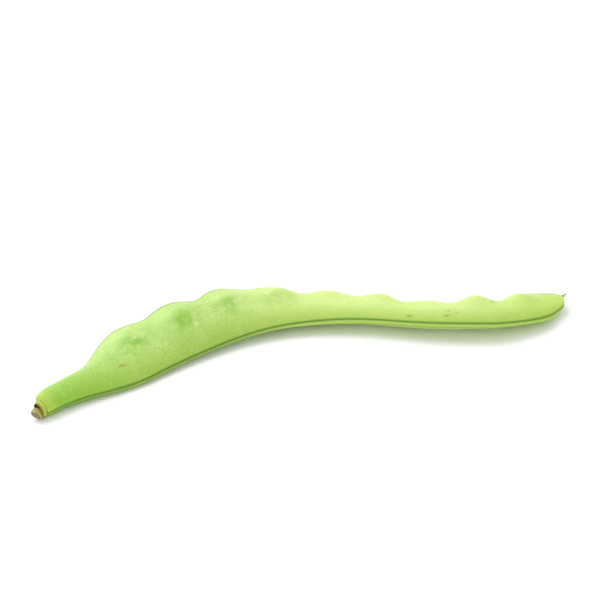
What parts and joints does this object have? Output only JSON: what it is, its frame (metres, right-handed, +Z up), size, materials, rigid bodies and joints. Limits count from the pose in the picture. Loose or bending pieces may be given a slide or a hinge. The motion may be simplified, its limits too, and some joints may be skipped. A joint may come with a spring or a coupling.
{
  "type": "green bean",
  "caption": "Flat-podded green bean, gently waved and swollen over its seeds, with a tapering neck, a short broken stalk stub and a thin dried beak",
  "frame": {"origin": "on the surface the bean lies on, under the middle of its box", "axes": "+X from the stalk towards the beak along the length, +Y towards the edge the seeds hang from, +Z up off the broad face it lies on"},
  "size_m": [0.1808, 0.0472, 0.0116],
  "materials": {
    "pod_skin": null,
    "dry_stalk": "dull drying stalk, olive to beige"
  },
  "bodies": {
    "root": {"pod": "pod_skin", "stalk_stub": "dry_stalk"}
  },
  "joints": []
}
